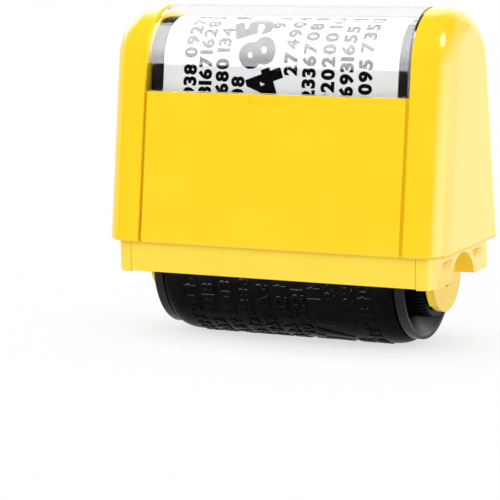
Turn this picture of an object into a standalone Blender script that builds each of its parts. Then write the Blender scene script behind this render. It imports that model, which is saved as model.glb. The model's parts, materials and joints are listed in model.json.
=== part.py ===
"""Roller stamp with a clear label window.

A carriage with a hollow pivot at each end carries the inked roller. The housing,
two side cheeks and a centre body, clicks down over it and lifts off it again, and
a clear cover sits on top. +X runs along the axle, -Y is the front, and the origin
is on the floor under the middle of the roller.
"""
import math

import bmesh
import bpy
from mathutils import Matrix, Vector

MM = 0.001

# Clearances
SEAT_GAP = 0.3 * MM
SLIDE_GAP = 0.5 * MM
RUNNING_GAP = 0.3 * MM
ROLLER_CLEARANCE = 0.4 * MM
CUT_OVERRUN = 2.0 * MM

# Stamp roller
STAMP_HALF_LENGTH = 18.6 * MM
SHOULDER_LENGTH = 3.4 * MM
SHOULDER_DROP = 1.3 * MM
SLEEVE_WALL = 2.3 * MM
FELT_WALL = 2.25 * MM
CORE_WALL = 2.15 * MM

# Roller end parts
FLANGE_DROP = 1.2 * MM
FLANGE_RIM_LENGTH = 1.7 * MM
FLANGE_RIM_WALL = 0.7 * MM
FLANGE_SPIGOT_LENGTH = 2.4 * MM
DISH_DEPTH = 3.2 * MM
HUB_WALL = 2.25 * MM
HUB_RIB_HEIGHT = 0.3 * MM
HUB_RIBS = 60
BUSH_WALL = 0.9 * MM

# Carriage
EAR_GAP = 2.1 * MM
EAR_THICKNESS = 1.4 * MM
EAR_RADIUS = 6.65 * MM
EAR_LIP_PROUD = 0.4 * MM
EAR_LIP_THICKNESS = 0.4 * MM
EAR_LIP_REACH = 5.1 * MM
PIVOT_RADIUS = 4.0 * MM
PIVOT_LENGTH = 5.0 * MM
PIVOT_WALL = 1.7 * MM
PIVOT_FLOOR = 0.8 * MM
NOTCH_DEPTH = 2.9 * MM
NOTCH_RADIUS = 5.45 * MM
NOTCH_HEIGHT = 4.5 * MM
BRACKET_ROUND = 2.5 * MM
BRACKET_DROP = 0.2 * MM
FRAME_WALL = 0.7 * MM
FRAME_CROWN = 1.5 * MM
FRAME_DROP = 0.4 * MM
FRAME_SHOWN = 5.3 * MM
SEAM_LAP = 0.2 * MM
CATCH_LENGTH = 3.4 * MM
CATCH_HEIGHT = 1.5 * MM
CATCH_LEDGE = 0.2 * MM
CATCH_PROUD = 0.4 * MM
CATCH_FROM_MIDDLE = 7.2 * MM
CATCH_BELOW_HOUSING = 1.4 * MM

# Screws
SCREW_RADIUS = 0.9 * MM
SCREW_LENGTH = 7.0 * MM
SCREW_HEAD_RADIUS = 1.7 * MM
SCREW_HEAD_HEIGHT = 0.9 * MM
DRIVE_WIDTH = 0.5 * MM
DRIVE_LENGTH = 2.0 * MM
DRIVE_DEPTH = 0.4 * MM
SCREW_TOP_WALL = 1.0 * MM
SCREW_SIDE_WALL = 1.2 * MM
CHEEK_SCREW_SPACING = 11.0 * MM

# Housing
HOUSING_WALL = 0.8 * MM
HOUSING_HEIGHT = 41.1 * MM
FLANK_LEAN = math.radians(8.45)
CHEEK_WIDTH = 7.25 * MM
CHEEK_SIDE_WALL = 1.8 * MM
CHEEK_INNER_WALL = 1.5 * MM
CHEEK_ROUND = 4.7 * MM
CHEEK_FOOT_ROUND = 0.6 * MM
CAVITY_WALL = 3.0 * MM
BOSS_WALL = 1.2 * MM

# Centre body
PANEL_WALL = 1.5 * MM
PANEL_SIDE_GAP = 0.6 * MM
PANEL_CHAMFER = 0.9 * MM
THUMB_WIDTH = 9.2 * MM
THUMB_HEIGHT = 1.6 * MM
THUMB_DEPTH = 0.4 * MM
CHASSIS_WALL = 1.5 * MM
CHASSIS_DECK = 1.6 * MM
CHASSIS_TOP_DROP = 2.2 * MM

# Label window
COVER_HEIGHT = 14.35 * MM
COVER_WALL = 1.3 * MM
COVER_SIDE_GAP = 0.35 * MM
LABEL_DEPTH = 2.2 * MM
LABEL_THICKNESS = 0.3 * MM
LABEL_MARGIN = 2.4 * MM
SADDLE_WALL = 1.5 * MM
SADDLE_END_GAP = 0.1 * MM
SADDLE_LIP_WALL = 1.2 * MM
SADDLE_LIP_DROP = 3.5 * MM

# Steps of round shapes
ROLLER_STEPS = 64
ROUND_STEPS = 40
SCREW_STEPS = 16
ARCH_STEPS = 28
CORNER_STEPS = 8
FOOT_STEPS = 3
SHOULDER_STEPS = 4
TROUGH_STEPS = 28

# Names and directions of what comes in pairs
SIDES = (("left", -1), ("right", 1))
ENDS = (("front", -1), ("rear", 1))

# Points closer than this are one point
MERGE_DISTANCE = 0.001 * MM

# Radii of the pivot and of the roller's layers, worked out from the inside outwards
PIVOT_BORE_RADIUS = PIVOT_RADIUS - PIVOT_WALL
BUSH_BORE = PIVOT_RADIUS + RUNNING_GAP
BUSH_RADIUS = BUSH_BORE + BUSH_WALL
HUB_BORE = BUSH_RADIUS + SEAT_GAP
HUB_RADIUS = HUB_BORE + HUB_WALL
CORE_RADIUS = HUB_RADIUS
CORE_BORE = CORE_RADIUS - CORE_WALL
FELT_BORE = CORE_RADIUS + SEAT_GAP
FELT_RADIUS = FELT_BORE + FELT_WALL
SLEEVE_BORE = FELT_RADIUS + SEAT_GAP
ROLLER_RADIUS = SLEEVE_BORE + SLEEVE_WALL
SPIGOT_BORE = CORE_RADIUS + SEAT_GAP
SPIGOT_RADIUS = SLEEVE_BORE - SEAT_GAP
FLANGE_RADIUS = ROLLER_RADIUS - FLANGE_DROP

# Heights worked out from the floor up
AXLE_HEIGHT = ROLLER_RADIUS
FRAME_FOOT = AXLE_HEIGHT - FRAME_DROP
BRACKET_FOOT = FRAME_FOOT - BRACKET_DROP
HOUSING_FOOT = FRAME_FOOT + FRAME_SHOWN
TROUGH_RADIUS = ROLLER_RADIUS + ROLLER_CLEARANCE
FRAME_TOP = AXLE_HEIGHT + TROUGH_RADIUS + FRAME_CROWN
HOUSING_TOP = HOUSING_FOOT + HOUSING_HEIGHT
COVER_FOOT = HOUSING_TOP - COVER_HEIGHT
PANEL_TOP = COVER_FOOT - SEAT_GAP
CHASSIS_FOOT = FRAME_TOP + SLIDE_GAP
CHASSIS_TOP = PANEL_TOP - CHASSIS_TOP_DROP

# Depths worked out from the axle outwards
FRAME_HALF_DEPTH = TROUGH_RADIUS + FRAME_WALL
FOOT_HALF_DEPTH = FRAME_HALF_DEPTH + SEAT_GAP + HOUSING_WALL
LEAN_SIN = math.sin(FLANK_LEAN)
LEAN_COS = math.cos(FLANK_LEAN)
ARCH_RADIUS = (FOOT_HALF_DEPTH * LEAN_COS - HOUSING_HEIGHT * LEAN_SIN) / (1 - LEAN_SIN)
ARCH_CENTRE = HOUSING_TOP - ARCH_RADIUS

# Places along the axle, worked out from the middle outwards
SLEEVE_HALF_LENGTH = STAMP_HALF_LENGTH + SHOULDER_LENGTH
FLANGE_INNER = SLEEVE_HALF_LENGTH + SEAT_GAP
FLANGE_FACE = FLANGE_INNER + FLANGE_RIM_LENGTH
SPIGOT_END = FLANGE_INNER - FLANGE_SPIGOT_LENGTH
CORE_HALF_LENGTH = FLANGE_FACE - DISH_DEPTH - RUNNING_GAP
EAR_INNER = FLANGE_FACE + EAR_GAP
EAR_FACE = EAR_INNER + EAR_THICKNESS
BRACKET_FACE = EAR_FACE + NOTCH_DEPTH
HOUSING_HALF_WIDTH = BRACKET_FACE + SEAT_GAP + CHEEK_SIDE_WALL
CHEEK_INNER = HOUSING_HALF_WIDTH - CHEEK_WIDTH
BRACKET_SEAM = EAR_FACE - SEAM_LAP
FRAME_HALF_LENGTH = BRACKET_SEAM - SEAT_GAP
CHASSIS_HALF_WIDTH = CHEEK_INNER - SEAT_GAP
PANEL_HALF_WIDTH = CHEEK_INNER - PANEL_SIDE_GAP
COVER_HALF_WIDTH = CHEEK_INNER - COVER_SIDE_GAP
SADDLE_HALF_WIDTH = COVER_HALF_WIDTH - SADDLE_END_GAP
LABEL_HALF_WIDTH = SADDLE_HALF_WIDTH - LABEL_MARGIN


def clear_scene():
    for obj in list(bpy.data.objects):
        bpy.data.objects.remove(obj, do_unlink=True)


def make_material(name, colour, roughness, metallic=0.0, alpha=1.0):
    material = bpy.data.materials.new(name)
    material.use_nodes = True
    shader = material.node_tree.nodes["Principled BSDF"]
    shader.inputs["Base Color"].default_value = (*colour, 1.0)
    shader.inputs["Roughness"].default_value = roughness
    shader.inputs["Metallic"].default_value = metallic
    shader.inputs["Alpha"].default_value = alpha
    return material


def make_object(name, bm, material=None, parent=None):
    bmesh.ops.recalc_face_normals(bm, faces=bm.faces)
    mesh = bpy.data.meshes.new(name)
    bm.to_mesh(mesh)
    bm.free()
    mesh.shade_smooth()
    mesh.set_sharp_from_angle(angle=math.radians(32))
    obj = bpy.data.objects.new(name, mesh)
    bpy.context.scene.collection.objects.link(obj)
    if material is not None:
        mesh.materials.append(material)
    obj.parent = parent
    return obj


def make_empty(name, location):
    empty = bpy.data.objects.new(name, None)
    empty.location = location
    bpy.context.scene.collection.objects.link(empty)
    return empty


def keep_in_place(parent):
    """Offsets what was drawn in the part's frame, so that it stays put under its parent."""
    for obj in parent.children:
        obj.matrix_parent_inverse = Matrix.Translation(-parent.location)


def apply_boolean(target, tool, operation):
    """Cuts or joins with a guide solid that stays hidden in the same space."""
    tool.parent = target.parent
    tool.hide_render = True
    tool.display_type = "WIRE"
    modifier = target.modifiers.new(tool.name, "BOOLEAN")
    modifier.operation = operation
    modifier.object = tool


def loft(sections):
    """Closed solid through outlines of equal point counts, each given as (x, outline)."""
    bm = bmesh.new()
    rings = []
    for x, outline in sections:
        rings.append([bm.verts.new((x, y, z)) for y, z in outline])
    count = len(rings[0])
    for ring, following in zip(rings, rings[1:]):
        for i in range(count):
            j = (i + 1) % count
            bm.faces.new((ring[i], ring[j], following[j], following[i]))
    bm.faces.new(rings[0])
    bm.faces.new(rings[-1])
    return bm


def prism(outline, x_from, x_to):
    """Solid with one outline in YZ, from one place on X to another."""
    return loft([(x_from, outline), (x_to, outline)])


def rounded_prism(outline_at, x_from, x_to, radius):
    """Prism whose upright corners at its outer end are rounded; outline_at gives the outline at an inset."""
    sections = [(x_from, outline_at(0))]
    for step in range(CORNER_STEPS + 1):
        angle = math.pi / 2 * step / CORNER_STEPS
        x = x_to - radius + radius * math.sin(angle)
        sections.append((x, outline_at(radius * (1 - math.cos(angle)))))
    bm = loft(sections)
    bmesh.ops.remove_doubles(bm, verts=bm.verts, dist=MERGE_DISTANCE)
    return bm


def turned(profile, steps, closed=True):
    """Spins (x, radius) points about the X axis; a closed profile makes a tube."""
    bm = bmesh.new()
    points = [bm.verts.new((x, 0, -radius)) for x, radius in profile]
    edges = [bm.edges.new(pair) for pair in zip(points, points[1:])]
    if closed:
        edges.append(bm.edges.new((points[-1], points[0])))
    bmesh.ops.spin(
        bm, geom=points + edges, cent=(0, 0, 0), axis=(1, 0, 0),
        angle=math.tau, steps=steps, use_merge=True, use_duplicate=False)
    bmesh.ops.remove_doubles(bm, verts=bm.verts, dist=MERGE_DISTANCE)
    return bm


def tube(x_from, x_to, bore, radius, steps=ROUND_STEPS):
    return turned([(x_from, bore), (x_to, bore), (x_to, radius), (x_from, radius)], steps)


def rod(x_from, x_to, radius, steps=ROUND_STEPS):
    return turned([(x_from, 0), (x_from, radius), (x_to, radius), (x_to, 0)], steps, closed=False)


def box(corner_from, corner_to):
    bm = bmesh.new()
    low, high = Vector(corner_from), Vector(corner_to)
    middle = (low + high) / 2
    size = high - low
    matrix = Matrix.Translation(middle) @ Matrix.Diagonal((*size, 1))
    bmesh.ops.create_cube(bm, size=1, matrix=matrix)
    return bm


def moved(bm, offset):
    bmesh.ops.translate(bm, verts=bm.verts, vec=offset)
    return bm


def mirrored(bm, side):
    """The solid itself on the right, its mirror image on the left."""
    if side < 0:
        bmesh.ops.scale(bm, verts=bm.verts, vec=(-1, 1, 1))
        bmesh.ops.reverse_faces(bm, faces=bm.faces)
    return bm


def flank_depth(z, inset=0.0):
    """Half depth of the housing at a height, measured to a surface set in from the outside."""
    return FOOT_HALF_DEPTH - (z - HOUSING_FOOT) * math.tan(FLANK_LEAN) - inset / LEAN_COS


def arch_curve(inset, foot):
    """The housing's side outline from the front foot over the top to the rear foot."""
    radius = ARCH_RADIUS - inset
    front = [(-flank_depth(foot, inset), foot)]
    for step in range(ARCH_STEPS + 1):
        angle = math.pi - FLANK_LEAN - (math.pi - 2 * FLANK_LEAN) * step / ARCH_STEPS
        front.append((radius * math.cos(angle), ARCH_CENTRE + radius * math.sin(angle)))
    return front + [(flank_depth(foot, inset), foot)]


def footed_arch(inset):
    """The housing's side outline with rounded feet, and lifted where the outer round ends."""
    across = CHEEK_ROUND - math.sqrt(CHEEK_ROUND ** 2 - (CHEEK_ROUND - inset) ** 2)
    rest = max(CHEEK_FOOT_ROUND - across, 0)
    lift = CHEEK_FOOT_ROUND - math.sqrt(CHEEK_FOOT_ROUND ** 2 - rest ** 2)
    front = []
    for step in range(FOOT_STEPS + 1):
        angle = math.pi / 2 * step / FOOT_STEPS
        z = HOUSING_FOOT + lift + (CHEEK_FOOT_ROUND - lift) * (1 - math.cos(angle))
        set_in = (CHEEK_FOOT_ROUND - lift) * (1 - math.sin(angle))
        front.append((-flank_depth(z, inset + set_in), z))
    rear = [(-y, z) for y, z in reversed(front)]
    return front + arch_curve(inset, HOUSING_FOOT)[1:-1] + rear


def arch_shell(inset, wall, foot):
    """Closed outline of an arched wall that stands on its two feet."""
    return arch_curve(inset, foot) + arch_curve(inset + wall, foot)[::-1]


def flank_band(inset, foot, top, side):
    """Two points of a surface on one flank, low then high; side is -1 at the front."""
    return [(side * flank_depth(foot, inset), foot), (side * flank_depth(top, inset), top)]


def carriage_outline(foot, clearance=0.0, narrowing=0.0):
    """Outside of the carriage seen along the axle, upright below the housing and leaning in it."""
    inset = HOUSING_WALL + SEAT_GAP - clearance + narrowing * LEAN_COS
    top = FRAME_TOP + clearance
    half_depth = FRAME_HALF_DEPTH + clearance - narrowing
    return [
        (-half_depth, foot),
        (-half_depth, HOUSING_FOOT),
        (-flank_depth(top, inset), top),
        (flank_depth(top, inset), top),
        (half_depth, HOUSING_FOOT),
        (half_depth, foot),
    ]


def add_screw(name, place, direction, material, parent):
    """Pan-head screw along X, given by its head's underside and by where its shank points."""
    slot_floor = DRIVE_DEPTH - SCREW_HEAD_HEIGHT
    profile = [
        (-SCREW_HEAD_HEIGHT, 0),
        (-SCREW_HEAD_HEIGHT, SCREW_HEAD_RADIUS),
        (0, SCREW_HEAD_RADIUS),
        (0, SCREW_RADIUS),
        (SCREW_LENGTH - SCREW_RADIUS, SCREW_RADIUS),
        (SCREW_LENGTH, 0),
    ]
    screw = turned(profile, SCREW_STEPS, closed=False)
    slot = box(
        (-SCREW_HEAD_HEIGHT - CUT_OVERRUN, -DRIVE_LENGTH / 2, -DRIVE_WIDTH / 2),
        (slot_floor, DRIVE_LENGTH / 2, DRIVE_WIDTH / 2))
    obj = make_object(name, moved(mirrored(screw, direction), place), material, parent)
    guide = make_object(name + "_drive_cut", moved(mirrored(slot, direction), place))
    apply_boolean(obj, guide, "DIFFERENCE")


def add_housing(materials, parent):
    for name, side in SIDES:
        add_cheek(name, side, materials, parent)
    add_chassis(materials, parent)
    add_panel("front_panel", -1, materials, parent)
    add_panel("rear_panel", 1, materials, parent)
    add_label_saddle(materials, parent)
    add_index_label(materials, parent)
    for name, side in SIDES:
        for place, turn in ENDS:
            x = side * (CHASSIS_HALF_WIDTH - CHASSIS_WALL - SEAT_GAP)
            head = (x, turn * CHEEK_SCREW_SPACING / 2, cheek_screw_height())
            add_screw(name + "_" + place + "_cheek_screw", head, side, materials["steel"], parent)


def cheek_screw_height():
    """Half way up the inside of the tray's end walls."""
    return (CHASSIS_FOOT + CHASSIS_DECK + CHASSIS_TOP) / 2


def add_cheek(name, side, materials, parent):
    """Side shell with a large outer round, hollow from below, open to the carriage."""
    shell = rounded_prism(footed_arch, CHEEK_INNER, HOUSING_HALF_WIDTH, CHEEK_ROUND)
    cheek = make_object(name + "_cheek", mirrored(shell, side), materials["yellow"], parent)

    pocket_end = BRACKET_FACE + SEAT_GAP
    pocket = rounded_prism(
        lambda inset: carriage_outline(HOUSING_FOOT - CUT_OVERRUN, SEAT_GAP, inset),
        CHEEK_INNER - CUT_OVERRUN, pocket_end, BRACKET_ROUND + SEAT_GAP)
    guide = make_object(name + "_cheek_pocket_cut", mirrored(pocket, side))
    apply_boolean(cheek, guide, "DIFFERENCE")

    cavity_start = CHEEK_INNER + CHEEK_INNER_WALL
    cavity_end = pocket_end - SEAT_GAP
    cavity = prism(arch_curve(CAVITY_WALL, FRAME_TOP - CUT_OVERRUN), cavity_start, cavity_end)
    guide = make_object(name + "_cheek_cavity_cut", mirrored(cavity, side))
    apply_boolean(cheek, guide, "DIFFERENCE")

    for place, turn in ENDS:
        y = turn * CHEEK_SCREW_SPACING / 2
        height = cheek_screw_height()
        bore = SCREW_RADIUS + SEAT_GAP
        boss = rod(CHEEK_INNER + CHEEK_INNER_WALL / 2, pocket_end + CHEEK_SIDE_WALL / 2, bore + BOSS_WALL)
        moved(boss, (0, y, height))
        guide = make_object(name + "_" + place + "_boss_guide", mirrored(boss, side))
        apply_boolean(cheek, guide, "UNION")
        hole = rod(CHEEK_INNER - CUT_OVERRUN, CHEEK_INNER - CHASSIS_WALL + SCREW_LENGTH, bore, SCREW_STEPS)
        moved(hole, (0, y, height))
        guide = make_object(name + "_" + place + "_hole_cut", mirrored(hole, side))
        apply_boolean(cheek, guide, "DIFFERENCE")


def add_chassis(materials, parent):
    """Open-topped tray that ties the cheeks together and carries the panels."""
    inset = PANEL_WALL + SEAT_GAP
    low, high = flank_band(inset, CHASSIS_FOOT, CHASSIS_TOP, -1)
    rear_low, rear_high = flank_band(inset, CHASSIS_FOOT, CHASSIS_TOP, 1)
    outer = prism([low, high, rear_high, rear_low], -CHASSIS_HALF_WIDTH, CHASSIS_HALF_WIDTH)
    chassis = make_object("chassis", outer, materials["yellow"], parent)

    floor = CHASSIS_FOOT + CHASSIS_DECK
    above = CHASSIS_TOP + CUT_OVERRUN
    low, high = flank_band(inset + CHASSIS_WALL, floor, above, -1)
    rear_low, rear_high = flank_band(inset + CHASSIS_WALL, floor, above, 1)
    half_width = CHASSIS_HALF_WIDTH - CHASSIS_WALL
    inner = prism([low, high, rear_high, rear_low], -half_width, half_width)
    apply_boolean(chassis, make_object("chassis_tray_cut", inner), "DIFFERENCE")

    for place, turn in ENDS:
        reach = CHASSIS_HALF_WIDTH + CUT_OVERRUN
        hole = rod(-reach, reach, SCREW_RADIUS + SEAT_GAP, SCREW_STEPS)
        moved(hole, (0, turn * CHEEK_SCREW_SPACING / 2, cheek_screw_height()))
        apply_boolean(chassis, make_object("chassis_" + place + "_hole_cut", hole), "DIFFERENCE")


def add_panel(name, side, materials, parent):
    """Front or rear plate on the flank, thin where the carriage slides behind it."""
    thin = HOUSING_WALL
    step_low = CHASSIS_FOOT - SEAT_GAP
    chamfer_top = HOUSING_FOOT + PANEL_CHAMFER
    outline = [
        (side * flank_depth(HOUSING_FOOT, PANEL_CHAMFER / 2), HOUSING_FOOT),
        (side * flank_depth(chamfer_top), chamfer_top),
        (side * flank_depth(PANEL_TOP), PANEL_TOP),
        (side * flank_depth(PANEL_TOP, PANEL_WALL), PANEL_TOP),
        (side * flank_depth(step_low, PANEL_WALL), step_low),
        (side * flank_depth(step_low, thin), step_low),
        (side * flank_depth(HOUSING_FOOT, thin), HOUSING_FOOT),
    ]
    panel = make_object(
        name, prism(outline, -PANEL_HALF_WIDTH, PANEL_HALF_WIDTH), materials["yellow"], parent)
    if side < 0:
        low, high = PANEL_TOP - THUMB_HEIGHT, PANEL_TOP + CUT_OVERRUN
        recess = flank_band(THUMB_DEPTH, low, high, side) + flank_band(-CUT_OVERRUN, low, high, side)[::-1]
        thumb = prism(recess, -THUMB_WIDTH / 2, THUMB_WIDTH / 2)
        apply_boolean(panel, make_object("front_panel_thumb_cut", thumb), "DIFFERENCE")


def add_label_saddle(materials, parent):
    """Black arched former under the label, plugged into the tray by a lip all along."""
    inset = LABEL_DEPTH + LABEL_THICKNESS + SEAT_GAP
    foot = CHASSIS_TOP + SEAT_GAP
    shell = prism(arch_shell(inset, SADDLE_WALL, foot), -SADDLE_HALF_WIDTH, SADDLE_HALF_WIDTH)
    saddle = make_object("label_saddle", shell, materials["black"], parent)

    lip_inset = PANEL_WALL + SEAT_GAP + CHASSIS_WALL + SEAT_GAP
    lip_length = CHASSIS_HALF_WIDTH - CHASSIS_WALL - SEAT_GAP
    lip_foot = foot - SADDLE_LIP_DROP
    lip_top = foot + SADDLE_LIP_WALL
    for place, side in ENDS:
        outer = flank_band(lip_inset, lip_foot, lip_top, side)
        inner = flank_band(lip_inset + SADDLE_LIP_WALL, lip_foot, lip_top, side)
        lip = prism(outer + inner[::-1], -lip_length, lip_length)
        apply_boolean(saddle, make_object("saddle_" + place + "_lip_guide", lip), "UNION")


def add_index_label(materials, parent):
    """Printed card that lies on the saddle under the clear cover."""
    outline = arch_shell(LABEL_DEPTH, LABEL_THICKNESS, COVER_FOOT)
    make_object("index_label", prism(outline, -LABEL_HALF_WIDTH, LABEL_HALF_WIDTH), materials["paper"], parent)


def add_cover(materials, parent):
    """Clear arched window between the cheeks, standing on the two panels."""
    outline = arch_shell(0, COVER_WALL, COVER_FOOT)
    make_object(
        "clear_cover", prism(outline, -COVER_HALF_WIDTH, COVER_HALF_WIDTH), materials["clear"], parent)


def add_carriage(materials, parent):
    add_carriage_frame(materials, parent)
    for name, side in SIDES:
        add_bracket(name, side, materials, parent)
        for place, turn in ENDS:
            x = side * (BRACKET_FACE - SCREW_HEAD_HEIGHT - SEAT_GAP)
            head = (x, turn * bracket_screw_depth(), bracket_screw_height())
            add_screw(name + "_" + place + "_bracket_screw", head, -side, materials["steel"], parent)


def bracket_screw_height():
    return FRAME_TOP - SCREW_HEAD_RADIUS - SCREW_TOP_WALL - SEAT_GAP


def bracket_screw_depth():
    """How far a bracket screw lies from the middle plane, just inside the carriage's flank."""
    flank = flank_depth(bracket_screw_height(), HOUSING_WALL + SEAT_GAP)
    return flank - SCREW_SIDE_WALL - SEAT_GAP - SCREW_HEAD_RADIUS


def add_carriage_frame(materials, parent):
    """Trough over the roller whose long lower edges show under the housing."""
    half_angle = math.asin(FRAME_DROP / TROUGH_RADIUS)
    trough = []
    for step in range(TROUGH_STEPS + 1):
        angle = -half_angle + (math.pi + 2 * half_angle) * step / TROUGH_STEPS
        trough.append((TROUGH_RADIUS * math.cos(angle), AXLE_HEIGHT + TROUGH_RADIUS * math.sin(angle)))
    outline = carriage_outline(FRAME_FOOT) + trough
    frame = make_object(
        "carriage_frame", prism(outline, -FRAME_HALF_LENGTH, FRAME_HALF_LENGTH), materials["yellow"], parent)
    for place, turn in ENDS:
        for name, side in SIDES:
            depth = BRACKET_FACE - SCREW_HEAD_HEIGHT - SCREW_LENGTH - CUT_OVERRUN
            hole = rod(depth, FRAME_HALF_LENGTH + CUT_OVERRUN, SCREW_RADIUS + SEAT_GAP, SCREW_STEPS)
            moved(hole, (0, turn * bracket_screw_depth(), bracket_screw_height()))
            guide = make_object("frame_" + name + "_" + place + "_hole_cut", mirrored(hole, side))
            apply_boolean(frame, guide, "DIFFERENCE")


def ear_outline(radius, reach):
    """Lobe round the axle whose sides end inside the trough, cut flat at its reach below the axle."""
    top = AXLE_HEIGHT + math.sqrt(TROUGH_RADIUS ** 2 - radius ** 2) - SEAT_GAP
    outline = [(radius, top), (-radius, top)]
    for step in range(ROUND_STEPS // 2 + 1):
        angle = math.pi + math.pi * step / (ROUND_STEPS // 2)
        outline.append((radius * math.cos(angle), AXLE_HEIGHT + max(radius * math.sin(angle), -reach)))
    return outline


def catch_outline(middle, height):
    """Rectangle that hangs down from a catch's ledge."""
    top = HOUSING_FOOT - CATCH_BELOW_HOUSING
    low, high = middle - CATCH_LENGTH / 2, middle + CATCH_LENGTH / 2
    return [(low, top), (high, top), (high, top - height), (low, top - height)]


def add_bracket(name, side, materials, parent):
    """End wall with a half-round notch, the ear behind it and the hollow pivot it carries."""
    wall = rounded_prism(
        lambda inset: carriage_outline(BRACKET_FOOT, 0, inset), BRACKET_SEAM, BRACKET_FACE, BRACKET_ROUND)
    bracket = make_object(name + "_end_bracket", mirrored(wall, side), materials["yellow"], parent)

    notch_centre = BRACKET_FOOT + NOTCH_HEIGHT - NOTCH_RADIUS
    notch = rod(EAR_FACE, BRACKET_FACE + CUT_OVERRUN, NOTCH_RADIUS, ROUND_STEPS)
    moved(notch, (0, 0, notch_centre))
    apply_boolean(bracket, make_object(name + "_notch_cut", mirrored(notch, side)), "DIFFERENCE")

    ear = prism(ear_outline(EAR_RADIUS, EAR_RADIUS), EAR_INNER, EAR_FACE)
    apply_boolean(bracket, make_object(name + "_ear_guide", mirrored(ear, side)), "UNION")
    lip_outline = ear_outline(EAR_RADIUS + EAR_LIP_PROUD, EAR_LIP_REACH)
    lip = prism(lip_outline, EAR_INNER, EAR_INNER + EAR_LIP_THICKNESS)
    apply_boolean(bracket, make_object(name + "_ear_lip_guide", mirrored(lip, side)), "UNION")
    pivot = rod(EAR_INNER - PIVOT_LENGTH, EAR_FACE - EAR_THICKNESS / 2, PIVOT_RADIUS)
    moved(pivot, (0, 0, AXLE_HEIGHT))
    apply_boolean(bracket, make_object(name + "_pivot_guide", mirrored(pivot, side)), "UNION")
    bore = rod(EAR_INNER - PIVOT_LENGTH + PIVOT_FLOOR, EAR_FACE + CUT_OVERRUN, PIVOT_BORE_RADIUS)
    moved(bore, (0, 0, AXLE_HEIGHT))
    apply_boolean(bracket, make_object(name + "_pivot_bore_cut", mirrored(bore, side)), "DIFFERENCE")

    for place, turn in ENDS:
        middle = turn * CATCH_FROM_MIDDLE
        root = catch_outline(middle, CATCH_HEIGHT)
        catch = loft([
            (BRACKET_SEAM, root),
            (BRACKET_FACE, root),
            (BRACKET_FACE + CATCH_PROUD, catch_outline(middle, CATCH_LEDGE)),
        ])
        guide = make_object(name + "_" + place + "_catch_guide", mirrored(catch, side))
        apply_boolean(bracket, guide, "UNION")
        hole_profile = [
            (BRACKET_SEAM - CUT_OVERRUN, 0),
            (BRACKET_SEAM - CUT_OVERRUN, SCREW_RADIUS + SEAT_GAP),
            (BRACKET_FACE - SCREW_HEAD_HEIGHT - 2 * SEAT_GAP, SCREW_RADIUS + SEAT_GAP),
            (BRACKET_FACE - SCREW_HEAD_HEIGHT - 2 * SEAT_GAP, SCREW_HEAD_RADIUS + SEAT_GAP),
            (BRACKET_FACE + CUT_OVERRUN, SCREW_HEAD_RADIUS + SEAT_GAP),
            (BRACKET_FACE + CUT_OVERRUN, 0),
        ]
        hole = turned(hole_profile, SCREW_STEPS, closed=False)
        moved(hole, (0, turn * bracket_screw_depth(), bracket_screw_height()))
        guide = make_object(name + "_" + place + "_screw_cut", mirrored(hole, side))
        apply_boolean(bracket, guide, "DIFFERENCE")


def add_roller(materials, parent):
    """Everything that turns, drawn about the axle."""
    shoulders = []
    for step in range(SHOULDER_STEPS + 1):
        angle = math.pi / 2 * step / SHOULDER_STEPS
        x = STAMP_HALF_LENGTH + SHOULDER_LENGTH * math.sin(angle)
        shoulders.append((x, ROLLER_RADIUS - SHOULDER_DROP * (1 - math.cos(angle))))
    sleeve = [(-x, radius) for x, radius in reversed(shoulders)] + shoulders
    sleeve += [(SLEEVE_HALF_LENGTH, SLEEVE_BORE), (-SLEEVE_HALF_LENGTH, SLEEVE_BORE)]
    make_object("stamp_sleeve", turned(sleeve, ROLLER_STEPS), materials["rubber"], parent)

    felt_end = SPIGOT_END - SEAT_GAP
    make_object("ink_felt", tube(-felt_end, felt_end, FELT_BORE, FELT_RADIUS), materials["felt"], parent)
    core = tube(-CORE_HALF_LENGTH, CORE_HALF_LENGTH, CORE_BORE, CORE_RADIUS)
    make_object("roller_core", core, materials["black"], parent)

    for name, side in SIDES:
        add_roller_end(name, side, materials, parent)


def add_roller_end(name, side, materials, parent):
    dish_floor = FLANGE_FACE - DISH_DEPTH
    profile = [
        (SPIGOT_END, SPIGOT_BORE),
        (SPIGOT_END, SPIGOT_RADIUS),
        (FLANGE_INNER, SPIGOT_RADIUS),
        (FLANGE_INNER, FLANGE_RADIUS),
        (FLANGE_FACE, FLANGE_RADIUS),
        (FLANGE_FACE, FLANGE_RADIUS - FLANGE_RIM_WALL),
        (dish_floor, SPIGOT_BORE),
    ]
    flange = turned(profile, ROLLER_STEPS)
    make_object(name + "_flange", mirrored(flange, side), materials["black"], parent)

    hub_start = CORE_HALF_LENGTH + SEAT_GAP
    hub_end = EAR_INNER - RUNNING_GAP
    outline = []
    for corner in range(4 * HUB_RIBS):
        radius = HUB_RADIUS if corner % 4 < 2 else HUB_RADIUS - HUB_RIB_HEIGHT
        angle = math.tau * corner / (4 * HUB_RIBS)
        outline.append((radius * math.cos(angle), radius * math.sin(angle)))
    hub_mesh = mirrored(prism(outline, hub_start, hub_end), side)
    hub = make_object(name + "_hub", hub_mesh, materials["black"], parent)
    bore = rod(hub_start - CUT_OVERRUN, hub_end + CUT_OVERRUN, HUB_BORE)
    apply_boolean(hub, make_object(name + "_hub_bore_cut", mirrored(bore, side)), "DIFFERENCE")

    bush = tube(hub_start, hub_end, BUSH_BORE, BUSH_RADIUS)
    make_object(name + "_bush", mirrored(bush, side), materials["acetal"], parent)


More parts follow.
